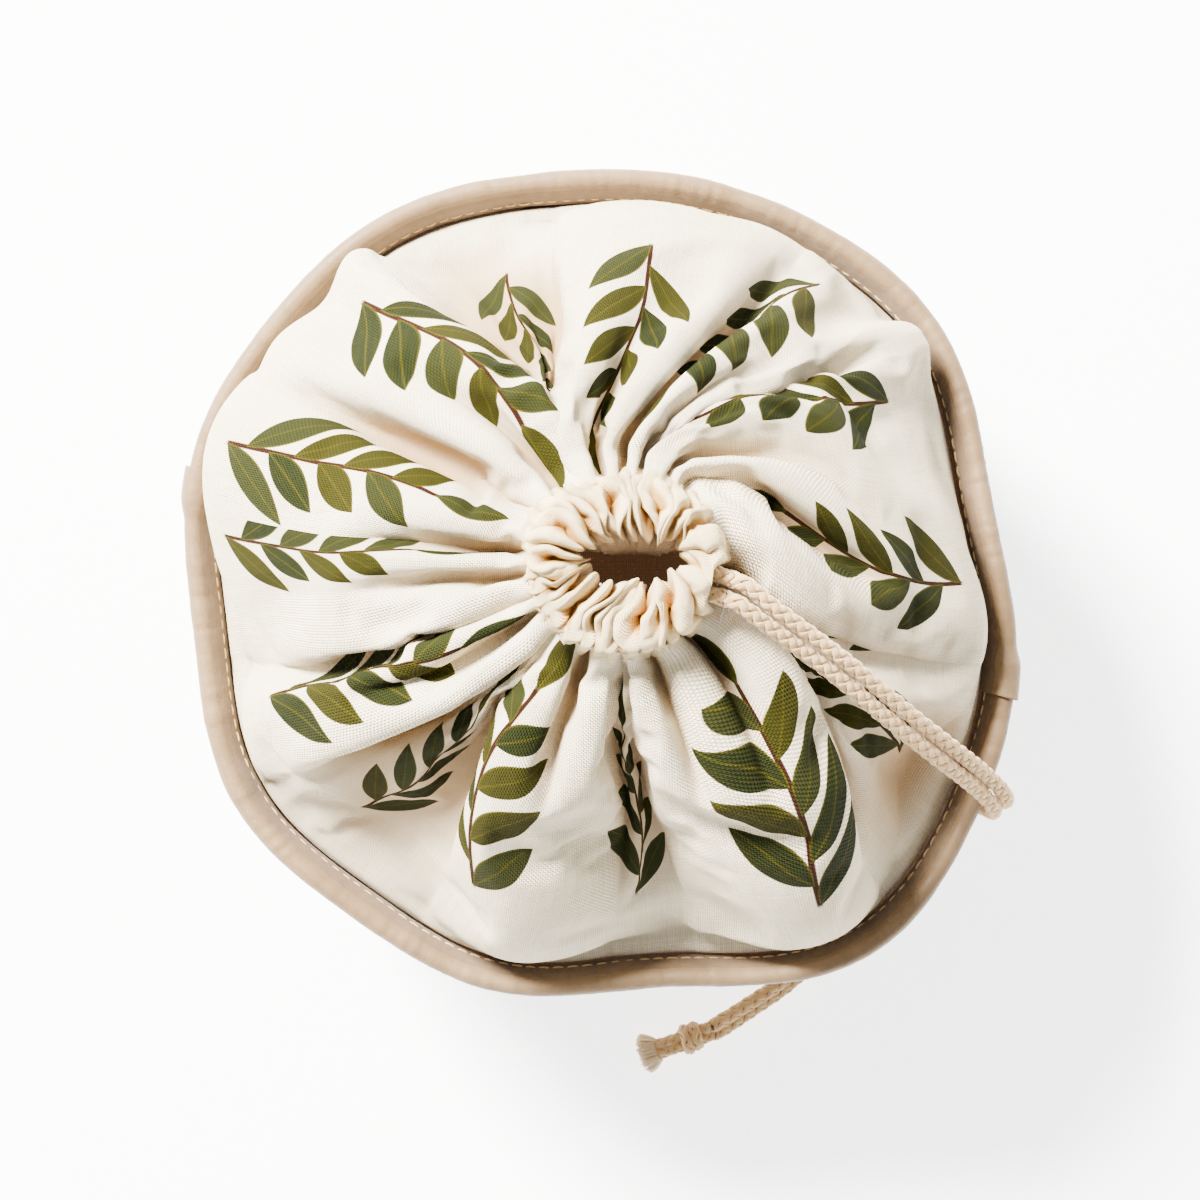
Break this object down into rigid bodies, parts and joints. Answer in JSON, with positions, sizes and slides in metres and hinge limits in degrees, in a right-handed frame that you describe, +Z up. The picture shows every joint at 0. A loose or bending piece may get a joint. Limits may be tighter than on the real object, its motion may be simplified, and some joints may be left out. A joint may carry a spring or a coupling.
{
  "type": "bread bag",
  "caption": "Round soft-sided bread bag with a bound rim and a gathered linen top, closed by a doubled drawstring in a ruffled casing.",
  "frame": {"origin": "centre of the bag's outline on the table, without the free cord", "axes": "+Z up; the picture is taken from straight above with its right along +X and its top along +Y"},
  "size_m": [0.246, 0.2793, 0.1962],
  "materials": {
    "linen": "plain-woven washed linen, off-white, with printed leaf sprigs in greens",
    "casing": "fine cream cotton, gathered",
    "edge_tape": "soft matt leather-like tape, beige, tan stitching",
    "wall_cloth": "soft matt leather-like cloth, beige",
    "base_cloth": "soft matt leather-like cloth, beige",
    "lining": "plain-woven natural linen",
    "board": "pressed felt board",
    "cord": "braided cotton cord, unbleached"
  },
  "bodies": {
    "bag": {"outer_base": "base_cloth", "base_insert": "board", "wall_front": "wall_cloth", "wall_back": "wall_cloth", "lining_base": "lining", "lining_front": "lining", "lining_back": "lining", "binding_front": "edge_tape", "binding_back": "edge_tape", "top_front": "linen", "top_back": "linen", "casing_front": "casing", "casing_back": "casing", "drawstring_loop": "cord"},
    "drawstring": {"cord_strand_a": "cord", "cord_strand_b": "cord", "cord_knot": "cord", "cord_end_a": "cord", "cord_end_b": "cord"}
  },
  "joints": [
    {"name": "drawstring_pull", "type": "slide", "parent": "bag", "child": "drawstring", "axis": [0.8571, -0.5151, 0], "range_m": [0, 0.008], "deforming": ["drawstring_loop"]}
  ]
}
